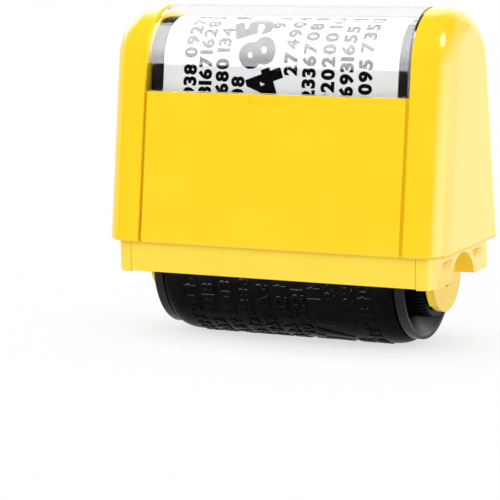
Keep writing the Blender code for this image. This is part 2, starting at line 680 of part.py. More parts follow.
def main():
    clear_scene()
    materials = {
        "yellow": make_material("yellow", (1.0, 0.70, 0.03), 0.3),
        "black": make_material("black", (0.012, 0.012, 0.013), 0.35),
        "rubber": make_material("rubber", (0.015, 0.015, 0.015), 0.5),
        "felt": make_material("felt", (0.02, 0.02, 0.025), 0.95),
        "acetal": make_material("acetal", (0.75, 0.74, 0.70), 0.4),
        "paper": make_material("paper", (0.85, 0.85, 0.85), 0.7),
        "clear": make_material("clear", (0.95, 0.97, 0.98), 0.03, alpha=0.3),
        "steel": make_material("steel", (0.6, 0.6, 0.62), 0.3, metallic=1.0),
    }
    carriage = make_empty("carriage_datum", (0, 0, 0))
    add_carriage(materials, carriage)
    axle = make_empty("roller_axle", (0, 0, AXLE_HEIGHT))
    add_roller(materials, axle)
    housing = make_empty("housing_seat", (0, 0, HOUSING_FOOT))
    add_housing(materials, housing)
    keep_in_place(housing)
    cover = make_empty("cover_seat", (0, 0, COVER_FOOT))
    add_cover(materials, cover)
    keep_in_place(cover)


main()
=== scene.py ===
"""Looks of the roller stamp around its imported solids: finer pieces, materials, light and camera.

+X runs along the axle, -Y is the front and +Z is up, in metres.
"""

import json
import math
import random

import bmesh
import bpy
import numpy as np
from mathutils import Matrix, Vector

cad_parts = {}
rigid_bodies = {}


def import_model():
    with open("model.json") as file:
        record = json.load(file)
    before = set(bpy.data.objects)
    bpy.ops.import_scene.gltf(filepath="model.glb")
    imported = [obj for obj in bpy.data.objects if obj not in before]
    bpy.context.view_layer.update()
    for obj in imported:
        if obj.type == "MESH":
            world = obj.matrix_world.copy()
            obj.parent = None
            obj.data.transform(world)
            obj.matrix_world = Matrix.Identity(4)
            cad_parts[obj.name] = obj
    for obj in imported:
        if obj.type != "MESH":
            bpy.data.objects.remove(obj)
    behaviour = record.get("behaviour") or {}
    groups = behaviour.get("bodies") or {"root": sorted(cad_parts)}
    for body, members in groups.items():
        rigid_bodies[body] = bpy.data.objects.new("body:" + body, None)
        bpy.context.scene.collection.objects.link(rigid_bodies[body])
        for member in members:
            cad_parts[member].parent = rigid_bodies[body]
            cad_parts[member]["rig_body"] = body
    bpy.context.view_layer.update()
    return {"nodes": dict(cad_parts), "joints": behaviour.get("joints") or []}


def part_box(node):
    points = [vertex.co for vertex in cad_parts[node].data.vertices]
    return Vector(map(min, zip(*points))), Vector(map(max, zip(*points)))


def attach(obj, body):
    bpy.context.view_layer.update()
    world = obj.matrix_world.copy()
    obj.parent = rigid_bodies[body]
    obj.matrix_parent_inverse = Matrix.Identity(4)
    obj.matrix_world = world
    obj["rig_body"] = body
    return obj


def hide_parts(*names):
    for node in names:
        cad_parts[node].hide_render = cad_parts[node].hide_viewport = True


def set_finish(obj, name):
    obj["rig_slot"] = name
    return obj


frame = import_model()

MM = 0.001

# The housing's side outline, as the solids have it
FLANK_LEAN = math.radians(8.45)
HOUSING_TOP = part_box("left_cheek")[1].z
HOUSING_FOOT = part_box("left_cheek")[0].z
FOOT_HALF_DEPTH = 15.1 * MM
ARCH_RADIUS = (
    (FOOT_HALF_DEPTH * math.cos(FLANK_LEAN) - (HOUSING_TOP - HOUSING_FOOT) * math.sin(FLANK_LEAN))
    / (1 - math.sin(FLANK_LEAN)))
ARCH_CENTRE = HOUSING_TOP - ARCH_RADIUS
ARCH_TURN = math.pi - 2 * FLANK_LEAN
FRONT_OUTWARD = Vector((-math.cos(FLANK_LEAN), math.sin(FLANK_LEAN)))
LABEL_DEPTH = 2.2 * MM
CARD_RADIUS = ARCH_RADIUS - LABEL_DEPTH

# Roller
AXLE_HEIGHT = frame["joints"][0]["pos_m"][2]
SLEEVE_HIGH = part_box("stamp_sleeve")[1]
SLEEVE_RADIUS = SLEEVE_HIGH.z - AXLE_HEIGHT
SLEEVE_HALF_LENGTH = SLEEVE_HIGH.x
STAMP_HALF_LENGTH = 18.6 * MM
SLEEVE_BORE = 10.6 * MM
RELIEF_HEIGHT = 0.18 * MM
RELIEF_ROOT = 0.15 * MM
RELIEF_DEPTH_SHARE = 0.13
RELIEF_ROUND_SHARE = 0.024
SHOULDER_END_RADIUS = 11.6 * MM
SLEEVE_STEPS = 144
SHOULDER_STEPS = 8

# Rows of digits from the card's left end; a row's number is where its baseline lies on X, in mm
SMALL_ROWS = [-15.7, -12.7, -9.4, -6.3, -3.1, 0.1, 3.7, 7.2, 10.8, 14.3, 17.8]
SMALL_HEIGHT = 2.8 * MM
LARGE_HEIGHT = 7.6 * MM
LARGE_SLANT = math.radians(20)
LARGE_MARGIN = -0.75 * MM
SMALL_SPACE = 0.09
LARGE_SPACE = 0.07
WORD_LENGTH = 12
WORD_SPACE = 0.3
SMALL_STRETCH = 1.06
LARGE_STRETCH = 1.05
INK_LIFT = 0.012 * MM
BOLDNESS = 0.055
CUT_STEP = 0.6 * MM
CUT_TOLERANCE = 1e-8
PRINT_MERGE = 1e-7
DIGIT_COUNT = 10
DIGIT_CURVE_STEPS = 3
LARGE_COUNT = 7
LARGE_BASELINE = -4.2 * MM
CARD_WORD_START = -5.2 * MM
RELIEF_WORD_SHARES = (0.02, 0.52)
SEED = 11

# Rounded edges of the moulded pieces
MERGE_DISTANCE = 0.002 * MM
FLAT_ANGLE = math.radians(0.6)
SHARP_ANGLE = math.radians(36)
SMOOTH_ANGLE = math.radians(42)
SKIN_REACH = 0.006 * MM
SKIN_MATCH = math.cos(math.radians(40))
CHEEK_ROUND = 4.7 * MM
CHEEK_FOOT_ROUND = 0.6 * MM
HOUSING_HALF_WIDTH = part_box("right_cheek")[1].x
SADDLE_DEPTH = 2.8 * MM
COVER_WALL = 1.3 * MM
COVER_END_FACING = 0.25
COVER_FOOT_FACING = 0.5
CHEEK_EDGE = 0.14 * MM
BRACKET_EDGE = 0.12 * MM
FLANGE_EDGE = 0.12 * MM
BUSH_EDGE = 0.1 * MM
HUB_EDGE = 0.05 * MM
SCREW_EDGE = 0.06 * MM
PANEL_EDGE = 0.12 * MM
CHASSIS_EDGE = 0.2 * MM
TROUGH_EDGE = 0.14 * MM
SADDLE_EDGE = 0.15 * MM
COVER_EDGE = 0.08 * MM
CORE_EDGE = 0.15 * MM
CARD_EDGE = 0.03 * MM

# Small changes of shape that only the visual model has
RIM_MARGIN = 0.2 * MM
RIM_STEP = 0.04 * MM
SEAM_CLOSING = 0.26 * MM
TONGUE_DEPTH = 0.6 * MM
TONGUE_REACH = 0.55 * MM
TONGUE_STEP = 0.04 * MM
COVER_SEATING = 0.2 * MM
CARD_TUCK = 0.5 * MM
FOOT_REACH = 0.2 * MM

# Materials; noise sizes are given as patterns per metre
EVEN = (1.0, 1.0, 1.0)
NOISE_DETAIL = 3.0
PATTERN_LOW = 0.3
PATTERN_HIGH = 0.7
BUMP_STRENGTH = 0.5
CLEAR_PATCH = 60
CLEAR_GRAIN = 500
CLEAR_RELIEF = 0.0002 * MM
CLEAR_IOR = 1.49

# Camera, fitted to the photograph's edges
CAMERA_YAW = math.radians(26.41)
CAMERA_PITCH = math.radians(9.62)
CAMERA_ROLL = math.radians(-1.161)
CAMERA_PLACE = (0.17264, -0.36887, 0.08467)
CAMERA_LENS = 166.88
CAMERA_CLIP = 0.01

# Floor and world; the floor's own glow fades towards the object, so that its shadow stays
FLOOR_SIZE = 6.0
FLOOR_ROUGHNESS = 0.9
FLOOR_GRAIN = 300
FLOOR_DARK = (0.87, 0.87, 0.87)
FLOOR_LIGHT = (0.89, 0.89, 0.89)
SHADOW_SQUEEZE = (0.38, 1.0, 1.0)
SHADOW_NEAR = 0.006
SHADOW_FAR = 0.022
GLOW_NEAR = 0.65
GLOW_FAR = 0.95
WORLD_STRENGTH = 0.78

# Distant lamps: name, direction, strength and softness in degrees
SUNS = (
    ("key", (0.05, -0.9, 0.8), 0.80, 60),
    ("top", (-0.1, 0.2, 1.0), 0.38, 50))

# Lamps that reach only one cheek's inner wall, across the clear cover; angles in degrees
WALL_AZIMUTHS = (("left", 92), ("right", -92))
WALL_ELEVATION = 8
WALL_STRENGTH = 2.2
WALL_ANGLE = 4

# Soft boxes that only show in reflections: name, azimuths and elevations in degrees as seen from the
# target, distance, radiance, lit pieces, tint, and fades as (axis, start, end, low, high)
STRIPE_TINT = (1.0, 0.62, 1.0)
SIDE_TINT = (0.9, 1.0, 0.9)
STRIPE_FADE = ("Y", 0.39, 0.85, 1.0, 0.12)
CORNER_FADE = ("Y", 0.47, 1.0, 1.0, 0.3)
SOFT_BOXES = (
    ("back_box", (-205, -112), (12, 54), 0.8, 1.5, "shell", EVEN, ()),
    ("stripe_box", (25, 95), (-25, 50), 0.35, 7.4, "right_side", STRIPE_TINT,
     (("X", 0.14, 0.46, 0.0, 1.0), STRIPE_FADE, STRIPE_FADE)),
    ("corner_box", (95, 162), (-25, 50), 0.35, 7.1, "right_side", STRIPE_TINT,
     (("X", 0.0, 0.9, 1.0, 0.0), CORNER_FADE, CORNER_FADE)),
    ("side_box", (120, 200), (-26, 25), 0.07, 1.25, "right_side", SIDE_TINT,
     (("X", 0.0, 0.26, 0.0, 1.0),)),
    ("spot_box", (44, 66), (42, 63), 0.6, 20.0, "yellow", EVEN, ()),
    ("left_box", (-150, -97), (13, 57), 2.0, 3.4, "left_cheek", STRIPE_TINT, ()),
    ("relief_box", (-60, 0), (0, 62), 0.5, 85.0, "rubber", EVEN, ()),
    ("flange_box", (125, 175), (-5, 35), 0.3, 2.5, "flanges", EVEN, ()))
BOX_TARGET = Vector((0.03, 0.0, 0.035))

# Haze in the clear cover: two soft boxes on a tilted plane, with black flags under, behind and left of
# them. Angles are heights above the front, and left and right are places on X, in metres.
HAZE_TARGET = Vector((0.0, -0.0104, 0.0493))
HAZE_DISTANCE = 2.5
HAZE_MIDDLE = math.radians(50.7)
HAZE_LOW_LEFT = math.radians(11.34)
HAZE_LOW_RIGHT = math.radians(11.12)
HAZE_HIGH = math.radians(90)
HAZE_LEFT = -2.6
HAZE_RIGHT = -0.7
HAZE_TOP = math.radians(112)
HAZE_TOP_LEFT_FOOT = -1.69
HAZE_TOP_LEFT_END = -2.75
HAZE_RADIANCE = 4.8
HAZE_FADES = (("Y", 0.0, 0.36, 1.0, 1.75), ("Y", 0.45, 0.85, 1.0, 0.78))
HAZE_TOP_RADIANCE = 6.0
FLAG_DROP = 0.5
FLAG_TOP = math.radians(118)
FLAG_LEFT = -3.2
FLAG_RIGHT = 4.5
FLAG_TOP_RIGHT = math.radians(127)
FLAG_TOP_BEND = 1.3
FLAG_WALL_BACK = -0.75
FLAG_BEHIND = 1.15
FLAG_SHARES = (-0.3, 2.5)

scene = bpy.context.scene


def link(obj):
    scene.collection.objects.link(obj)
    return obj


def add_node(tree, kind, **values):
    node = tree.nodes.new(kind)
    for name, value in values.items():
        node.inputs[name.replace("_", " ")].default_value = value
    return node


def noise(tree, scale, stretch=EVEN):
    """Value of a noise pattern in the piece's own coordinates, about 1/scale metres in size."""
    place = tree.nodes.new("ShaderNodeTexCoord")
    mapping = add_node(tree, "ShaderNodeMapping", Scale=stretch)
    pattern = add_node(tree, "ShaderNodeTexNoise", Scale=scale, Detail=NOISE_DETAIL)
    tree.links.new(place.outputs["Object"], mapping.inputs["Vector"])
    tree.links.new(mapping.outputs["Vector"], pattern.inputs["Vector"])
    return pattern.outputs["Fac"]


def ranged(tree, value, low, high):
    """The pattern's middle range spread from low to high."""
    node = add_node(
        tree, "ShaderNodeMapRange", From_Min=PATTERN_LOW, From_Max=PATTERN_HIGH, To_Min=low, To_Max=high)
    tree.links.new(value, node.inputs["Value"])
    return node.outputs["Result"]


def blended(tree, value, dark, light):
    """Colour between two tones; the mix node's colour sockets follow its other types' sockets."""
    node = tree.nodes.new("ShaderNodeMix")
    node.data_type = "RGBA"
    node.inputs[6].default_value = (*dark, 1.0)
    node.inputs[7].default_value = (*light, 1.0)
    tree.links.new(value, node.inputs[0])
    return node.outputs[2]


def combined(tree, operation, first, second):
    """Result of a math operation on a socket and either another socket or a plain value."""
    node = tree.nodes.new("ShaderNodeMath")
    node.operation = operation
    tree.links.new(first, node.inputs[0])
    if isinstance(second, float):
        node.inputs[1].default_value = second
    else:
        tree.links.new(second, node.inputs[1])
    return node.outputs["Value"]


def show_mix(tree, share, first, second):
    """Sends a mix of two shaders to the material's output."""
    mix = tree.nodes.new("ShaderNodeMixShader")
    tree.links.new(share, mix.inputs["Fac"])
    tree.links.new(first, mix.inputs[1])
    tree.links.new(second, mix.inputs[2])
    tree.links.new(mix.outputs["Shader"], tree.nodes["Material Output"].inputs["Surface"])


def surface(name, dark, light, patch, roughness, spread, grain, relief, metallic=0.0, ior=1.46,
            stretch=EVEN):
    """Material with patches between two tones, uneven gloss and a fine grain in the surface."""
    material = bpy.data.materials.new(name)
    material.use_nodes = True
    tree = material.node_tree
    shader = tree.nodes["Principled BSDF"]
    shader.inputs["Metallic"].default_value = metallic
    shader.inputs["IOR"].default_value = ior
    tone = ranged(tree, noise(tree, patch, stretch=stretch), 0.0, 1.0)
    tree.links.new(blended(tree, tone, dark, light), shader.inputs["Base Color"])
    fine = noise(tree, grain, stretch=stretch)
    tree.links.new(ranged(tree, fine, roughness - spread, roughness + spread), shader.inputs["Roughness"])
    bump = add_node(tree, "ShaderNodeBump", Strength=BUMP_STRENGTH, Distance=relief)
    tree.links.new(fine, bump.inputs["Height"])
    tree.links.new(bump.outputs["Normal"], shader.inputs["Normal"])
    return material


def clear_surface(name, dark, light, roughness, spread, plain_share=0.0):
    """Clear moulding that lets the lamps through to what lies under it.

    The plain share of its surface neither bends nor reflects.
    """
    material = surface(
        name, dark, light, CLEAR_PATCH, roughness, spread, CLEAR_GRAIN, CLEAR_RELIEF, ior=CLEAR_IOR)
    tree = material.node_tree
    shader = tree.nodes["Principled BSDF"]
    shader.inputs["Transmission Weight"].default_value = 1.0
    through = tree.nodes.new("ShaderNodeBsdfTransparent")
    path = tree.nodes.new("ShaderNodeLightPath")
    unseen = combined(tree, "MAXIMUM", path.outputs["Is Shadow Ray"], path.outputs["Is Diffuse Ray"])
    plain = combined(tree, "MAXIMUM", unseen, plain_share)
    show_mix(tree, plain, shader.outputs["BSDF"], through.outputs["BSDF"])
    return material


MATERIALS = {
    "yellow_plastic": surface(
        "yellow_plastic", dark=(1.0, 0.665, 0.012), light=(1.0, 0.695, 0.018), patch=90,
        roughness=0.17, spread=0.02, grain=2600, relief=0.003 * MM),
    # The carriage's copy of the yellow is paler than the housing's: a painted reflection of the white
    # floor under its skirt.
    "carriage_plastic": surface(
        "carriage_plastic", dark=(1.0, 0.715, 0.048), light=(1.0, 0.745, 0.056), patch=90,
        roughness=0.24, spread=0.02, grain=2600, relief=0.003 * MM),
    "black_plastic": surface(
        "black_plastic", dark=(0.003, 0.003, 0.0035), light=(0.006, 0.006, 0.0065), patch=220,
        roughness=0.34, spread=0.05, grain=2200, relief=0.01 * MM, ior=1.15),
    "flange_plastic": surface(
        "flange_plastic", dark=(0.010, 0.010, 0.0105), light=(0.015, 0.015, 0.0155), patch=260,
        roughness=0.38, spread=0.05, grain=2200, relief=0.012 * MM, ior=1.25),
    "stamp_rubber": surface(
        "stamp_rubber", dark=(0.002, 0.002, 0.0022), light=(0.004, 0.004, 0.0042), patch=320,
        roughness=0.32, spread=0.06, grain=3400, relief=0.01 * MM, ior=1.085),
    "ink_felt": surface(
        "ink_felt", dark=(0.006, 0.006, 0.008), light=(0.022, 0.022, 0.026), patch=1800,
        roughness=0.9, spread=0.05, grain=5200, relief=0.12 * MM),
    "bush_plastic": surface(
        "bush_plastic", dark=(0.66, 0.65, 0.61), light=(0.72, 0.71, 0.67), patch=200,
        roughness=0.36, spread=0.04, grain=2400, relief=0.008 * MM),
    "label_paper": surface(
        "label_paper", dark=(0.80, 0.82, 0.87), light=(0.83, 0.85, 0.90), patch=420,
        roughness=0.55, spread=0.05, grain=4200, relief=0.006 * MM),
    "label_ink": surface(
        "label_ink", dark=(0.002, 0.002, 0.002), light=(0.005, 0.005, 0.005), patch=900,
        roughness=0.5, spread=0.06, grain=4200, relief=0.004 * MM, ior=1.06),
    "clear_plastic": clear_surface(
        "clear_plastic", dark=(0.955, 0.965, 0.97), light=(0.985, 0.99, 0.99),
        roughness=0.012, spread=0.006),
    "clear_edge": clear_surface(
        "clear_edge", dark=(0.90, 0.93, 0.94), light=(0.95, 0.97, 0.97),
        roughness=0.2, spread=0.05, plain_share=0.88),
    # Dark brown on the cover's outer end rims: painted shade of the narrow gap between the cover and the
    # cheeks.
    "clear_rim_gap_shade": surface(
        "clear_rim_gap_shade", dark=(0.10, 0.085, 0.04), light=(0.14, 0.12, 0.06), patch=300,
        roughness=0.3, spread=0.05, grain=2600, relief=0.002 * MM, ior=1.2),
    "flag_black": surface(
        "flag_black", dark=(0.003, 0.003, 0.003), light=(0.005, 0.005, 0.005), patch=20,
        roughness=0.9, spread=0.05, grain=90, relief=0.1 * MM, ior=1.02),
    "screw_steel": surface(
        "screw_steel", dark=(0.50, 0.50, 0.52), light=(0.60, 0.60, 0.62), patch=900,
        roughness=0.30, spread=0.08, grain=4000, relief=0.006 * MM, metallic=1.0, stretch=(1.0, 6.0, 1.0)),
}


def make_piece(name, bm, body, slot, material=None):
    """Mesh with smooth faces between its sharp edges, which rides on a body."""
    mesh = bpy.data.meshes.new(name)
    bm.to_mesh(mesh)
    bm.free()
    mesh.shade_smooth()
    mesh.set_sharp_from_angle(angle=SMOOTH_ANGLE)
    mesh.materials.append(MATERIALS[material or slot])
    piece = link(bpy.data.objects.new(name, mesh))
    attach(piece, body)
    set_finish(piece, slot)
    return piece


def dress(node, width, slot, material=None, segments=2):
    """A node's own shape with its sharp edges rounded, shown in its place."""
    source = frame["nodes"][node]
    bm = bmesh.new()
    bm.from_mesh(source.data)
    bmesh.ops.remove_doubles(bm, verts=bm.verts, dist=MERGE_DISTANCE)
    bmesh.ops.dissolve_limit(bm, angle_limit=FLAT_ANGLE, verts=bm.verts, edges=bm.edges)
    edges = [edge for edge in bm.edges if edge.is_manifold and edge.calc_face_angle() > SHARP_ANGLE]
    bmesh.ops.bevel(
        bm, geom=edges, offset=width, offset_type="OFFSET", segments=segments, profile=0.5,
        affect="EDGES", clamp_overlap=False, loop_slide=True)
    bmesh.ops.recalc_face_normals(bm, faces=bm.faces)
    piece = make_piece(node + "_moulding", bm, source["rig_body"], slot, material)
    weighted = piece.modifiers.new("even_faces", "WEIGHTED_NORMAL")
    weighted.keep_sharp = True
    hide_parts(node)
    return piece


def flank_depth(z, inset):
    """Distance from the middle plane to a flank at a height, that far inside the outer skin."""
    return FOOT_HALF_DEPTH - (z - HOUSING_FOOT) * math.tan(FLANK_LEAN) - inset / math.cos(FLANK_LEAN)


def outline_normal(y, z):
    """Outward direction of the housing's side outline near a point, and how deep the point lies."""
    side = -1 if y < 0 else 1
    from_centre = Vector((y, z - ARCH_CENTRE))
    if math.atan2(from_centre.y, abs(y)) > FLANK_LEAN:
        return from_centre.normalized(), ARCH_RADIUS - from_centre.length
    flank = Vector((side * math.cos(FLANK_LEAN), math.sin(FLANK_LEAN)))
    return flank, (flank_depth(z, 0) - abs(y)) * math.cos(FLANK_LEAN)


def skin_normal(place, outer, inner, rounding):
    """Normal of the exact housing surface at a point, or nothing when the point isn't on it.

    Outer and inner are the depths of the skins that face outwards and inwards.
    """
    across, depth = outline_normal(place.y, place.z)
    facing = Vector((0, across.x, across.y))
    past = abs(place.x) - (HOUSING_HALF_WIDTH - rounding)
    if rounding and past > 0:
        left = max(rounding - depth, 0)
        if abs(math.hypot(left, past) - rounding) < SKIN_REACH:
            return (facing * left + Vector((math.copysign(past, place.x), 0, 0))).normalized()
        return None
    for skins, direction in ((outer, facing), (inner, -facing)):
        if any(abs(depth - skin) < SKIN_REACH for skin in skins):
            return direction
    return None


def even_normals(piece, outer, inner=(), rounding=0.0):
    """Points on the housing's curved skin take its exact normals, so that reflections run evenly."""
    graph = bpy.context.evaluated_depsgraph_get()
    mesh = bpy.data.meshes.new_from_object(piece.evaluated_get(graph))
    normals = [corner.vector.copy() for corner in mesh.corner_normals]
    for face in mesh.polygons:
        for loop in face.loop_indices:
            place = mesh.vertices[mesh.loops[loop].vertex_index].co
            if place.z < HOUSING_FOOT + CHEEK_FOOT_ROUND:
                continue
            exact = skin_normal(place, outer, inner, rounding)
            if exact and exact.dot(face.normal) > SKIN_MATCH:
                normals[loop] = exact
    mesh.normals_split_custom_set(normals)
    piece.modifiers.clear()
    piece.data = mesh


def lower_foot(piece, foot, drop):
    """Carries both feet of an arched piece further down along the flanks."""
    for vert in piece.data.vertices:
        if vert.co.z < foot + FOOT_REACH:
            vert.co.z -= drop
            vert.co.y += math.copysign(drop * math.tan(FLANK_LEAN), vert.co.y)


def cut(bm, place, direction, clear_outer=False):
    """Cuts a whole mesh along a plane, and may take away what lies past it."""
    geometry = bm.verts[:] + bm.edges[:] + bm.faces[:]
    bmesh.ops.bisect_plane(
        bm, geom=geometry, dist=CUT_TOLERANCE, plane_co=place, plane_no=direction,
        clear_outer=clear_outer)


def raise_rims(saddle):
    """Raises the saddle beside both ends of the card, so that the card lies between two rims."""
    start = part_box("index_label")[1].x + RIM_MARGIN
    bm = bmesh.new()
    bm.from_mesh(saddle.data)
    for place in (-start - RIM_STEP, -start, start, start + RIM_STEP):
        cut(bm, (place, 0, 0), (1, 0, 0))
    rise = SADDLE_DEPTH - LABEL_DEPTH
    for vert in bm.verts:
        outward, depth = outline_normal(vert.co.y, vert.co.z)
        if abs(vert.co.x) > start + RIM_STEP / 2 and depth < SADDLE_DEPTH + RIM_MARGIN:
            vert.co += Vector((0, outward.x, outward.y)) * rise
    bm.to_mesh(saddle.data)
    bm.free()


def add_tongues(panel):
    """Widens a panel behind its outer skin, so that the seams at its ends are closed grooves."""
    side = math.copysign(1, panel.data.vertices[0].co.y)
    outward = Vector((0, side * math.cos(FLANK_LEAN), math.sin(FLANK_LEAN)))
    end = max(vert.co.x for vert in panel.data.vertices) - RIM_MARGIN
    bm = bmesh.new()
    bm.from_mesh(panel.data)
    for inset in (TONGUE_DEPTH, TONGUE_DEPTH + TONGUE_STEP):
        cut(bm, (0, side * flank_depth(HOUSING_FOOT, inset), HOUSING_FOOT), outward)
    for vert in bm.verts:
        depth = outline_normal(vert.co.y, vert.co.z)[1]
        if abs(vert.co.x) > end and depth > TONGUE_DEPTH + TONGUE_STEP / 2:
            vert.co.x += math.copysign(TONGUE_REACH, vert.co.x)
    bm.to_mesh(panel.data)
    bm.free()


def turned(profile, steps):
    """Closed ring of (x, radius) points spun about the axle."""
    bm = bmesh.new()
    rings = []
    for step in range(steps):
        angle = math.tau * step / steps
        y, z = math.sin(angle), math.cos(angle)
        rings.append([bm.verts.new((x, radius * y, AXLE_HEIGHT + radius * z)) for x, radius in profile])
    count = len(profile)
    for ring, following in zip(rings, rings[1:] + rings[:1]):
        for i in range(count):
            j = (i + 1) % count
            bm.faces.new((ring[i], ring[j], following[j], following[i]))
    bmesh.ops.recalc_face_normals(bm, faces=bm.faces)
    return bm


def digit_shape(digit, depth, rounding):
    """(points, faces, low corner, high corner) of a digit about one unit high."""
    curve = bpy.data.curves.new("digit", "FONT")
    curve.body = str(digit)
    curve.resolution_u = DIGIT_CURVE_STEPS
    curve.offset = BOLDNESS - rounding
    curve.extrude = max(depth / 2 - rounding, 0)
    curve.bevel_depth = rounding
    curve.bevel_resolution = 0
    holder = link(bpy.data.objects.new("digit", curve))
    mesh = bpy.data.meshes.new_from_object(holder.evaluated_get(bpy.context.evaluated_depsgraph_get()))
    points = np.array([vert.co for vert in mesh.vertices])
    faces = [tuple(face.vertices) for face in mesh.polygons]
    bpy.data.objects.remove(holder)
    bpy.data.meshes.remove(mesh)
    bpy.data.curves.remove(curve)
    low, high = points.min(axis=0), points.max(axis=0)
    return points, faces, low, high


def digit_set(depth, rounding, thickness):
    """The ten digits at a common height, each as (points, faces, width).

    Depth and rounding are shares of that height, and the depth is then set to the thickness.
    """
    raw = [digit_shape(digit, depth, rounding) for digit in range(DIGIT_COUNT)]
    foot = min(low[1] for _, _, low, _ in raw)
    height = max(high[1] for _, _, _, high in raw) - foot
    digits = []
    for points, faces, low, high in raw:
        shifted = points - np.array([low[0], foot, 0])
        shifted[:, :2] /= height
        if depth:
            shifted[:, 2] *= thickness / depth
        digits.append((shifted, faces, (high[0] - low[0]) / height))
    return digits


def print_rows(digits, length, large_starts, seed, spill=0.0):
    """Places of the digits on a flat sheet: (digit, along, across, height, stretch, slant).

    Along runs with the rows, and across is the negative of X. Large slanted words come first, each
    from its own start, and the small digits leave room round them. The rows may run over both ends
    by the spill.
    """
    draw = random.Random(seed)
    placed = []
    taken = []
    direction = np.array([math.cos(LARGE_SLANT), math.sin(LARGE_SLANT)])
    for start in large_starts:
        corner = np.array([start, LARGE_BASELINE])
        along = 0.0
        for _ in range(LARGE_COUNT):
            digit = draw.randrange(DIGIT_COUNT)
            width = digits[digit][2] * LARGE_STRETCH
            place = corner + direction * along * LARGE_HEIGHT
            placed.append((digit, place[0], place[1], LARGE_HEIGHT, LARGE_STRETCH, LARGE_SLANT))
            along += width + LARGE_SPACE
        taken.append((corner, direction, along * LARGE_HEIGHT))
    for row in SMALL_ROWS:
        across = -row * MM
        along = -spill - draw.random() * SMALL_HEIGHT
        letters = draw.randrange(WORD_LENGTH)
        while along < length + spill:
            digit = draw.randrange(DIGIT_COUNT)
            width = digits[digit][2] * SMALL_HEIGHT * SMALL_STRETCH
            middle = np.array([along + width / 2, across + SMALL_HEIGHT / 2])
            if fits(middle, taken) and along > -spill and along + width < length + spill:
                placed.append((digit, along, across, SMALL_HEIGHT, SMALL_STRETCH, 0.0))
            along += width + SMALL_SPACE * SMALL_HEIGHT
            letters += 1
            if letters % WORD_LENGTH == 0:
                along += WORD_SPACE * SMALL_HEIGHT
    return placed


def fits(middle, taken):
    """True when a small digit's middle is clear of every large word."""
    reach = SMALL_HEIGHT / 2 + LARGE_MARGIN
    for start, direction, length in taken:
        offset = middle - start
        along = offset @ direction
        across = offset @ np.array([-direction[1], direction[0]])
        if -reach < along < length + reach and -reach < across < LARGE_HEIGHT + reach:
            return False
    return True


def flat_print(digits, placed):
    """All placed digits in one mesh, with (along, across, height) for coordinates."""
    points, faces = [], []
    first = 0
    for digit, along, across, height, stretch, slant in placed:
        shape, polygons, _ = digits[digit]
        cosine, sine = math.cos(slant), math.sin(slant)
        u = (shape[:, 0] * stretch * cosine - shape[:, 1] * sine) * height + along
        w = (shape[:, 0] * stretch * sine + shape[:, 1] * cosine) * height + across
        points.append(np.column_stack([u, w, shape[:, 2]]))
        faces += [tuple(first + i for i in polygon) for polygon in polygons]
        first += len(shape)
    mesh = bpy.data.meshes.new("print")
    mesh.from_pydata(np.concatenate(points).tolist(), [], faces)
    bm = bmesh.new()
    bm.from_mesh(mesh)
    bpy.data.meshes.remove(mesh)
    bmesh.ops.remove_doubles(bm, verts=bm.verts, dist=PRINT_MERGE)
    return bm


def sliced(bm, length):
    """Cuts the flat print across its rows, so that it can follow a curve."""
    for step in range(1, math.ceil(length / CUT_STEP)):
        cut(bm, (step * CUT_STEP, 0, 0), (1, 0, 0))
    return bm


def trimmed(bm, length):
    """Cuts away what stands past either end of the rows."""
    for place, direction in ((0.0, -1), (length, 1)):
        cut(bm, (place, 0, 0), (direction, 0, 0), clear_outer=True)
    return bm


def card_flank(foot):
    """The front foot of the card's outer face, the point where its arch begins, and their distance."""
    start = Vector((-flank_depth(foot, LABEL_DEPTH), foot))
    bend = Vector((0, ARCH_CENTRE)) + FRONT_OUTWARD * CARD_RADIUS
    return start, bend, (bend - start).length


def arch_place(along, height, foot):
    """(y, z) of a point on the card, from the front foot over the top, raised by a height."""
    tangent = Vector((math.sin(FLANK_LEAN), math.cos(FLANK_LEAN)))
    outward = FRONT_OUTWARD
    start, bend, straight = card_flank(foot)
    if along <= straight:
        return start + tangent * along + outward * height
    angle = (along - straight) / CARD_RADIUS
    if angle <= ARCH_TURN:
        rise = math.pi - FLANK_LEAN - angle
        return Vector((0, ARCH_CENTRE)) + Vector((math.cos(rise), math.sin(rise))) * (CARD_RADIUS + height)
    rest = along - straight - ARCH_TURN * CARD_RADIUS
    end = Vector((-bend.x, bend.y))
    return end + Vector((tangent.x, -tangent.y)) * rest + Vector((-outward.x, outward.y)) * height


def arch_length(foot):
    """Length of the card's outer face from foot to foot."""
    return 2 * card_flank(foot)[2] + ARCH_TURN * CARD_RADIUS


def close_seams(trough):
    """Carries both ends of the trough towards the end brackets."""
    end = max(vert.co.x for vert in trough.data.vertices) - 2 * SEAM_CLOSING
    for vert in trough.data.vertices:
        if abs(vert.co.x) > end:
            vert.co.x += math.copysign(SEAM_CLOSING, vert.co.x)


def mark_edges(cover, foot):
    """Gives the cut ends and feet of the clear cover their own material, and their outer rim a dark one,
    painted shade of the gap between cover and cheek.
    """
    edge, rim = 1, 2
    cover.data.materials.append(MATERIALS["clear_edge"])
    cover.data.materials.append(MATERIALS["clear_rim_gap_shade"])
    for face in cover.data.polygons:
        if abs(face.normal.x) > COVER_END_FACING:
            depth = outline_normal(face.center.y, face.center.z)[1]
            face.material_index = rim if depth < COVER_EDGE else edge
        elif face.normal.z < -COVER_FOOT_FACING and face.center.z < foot + COVER_SEATING:
            face.material_index = edge


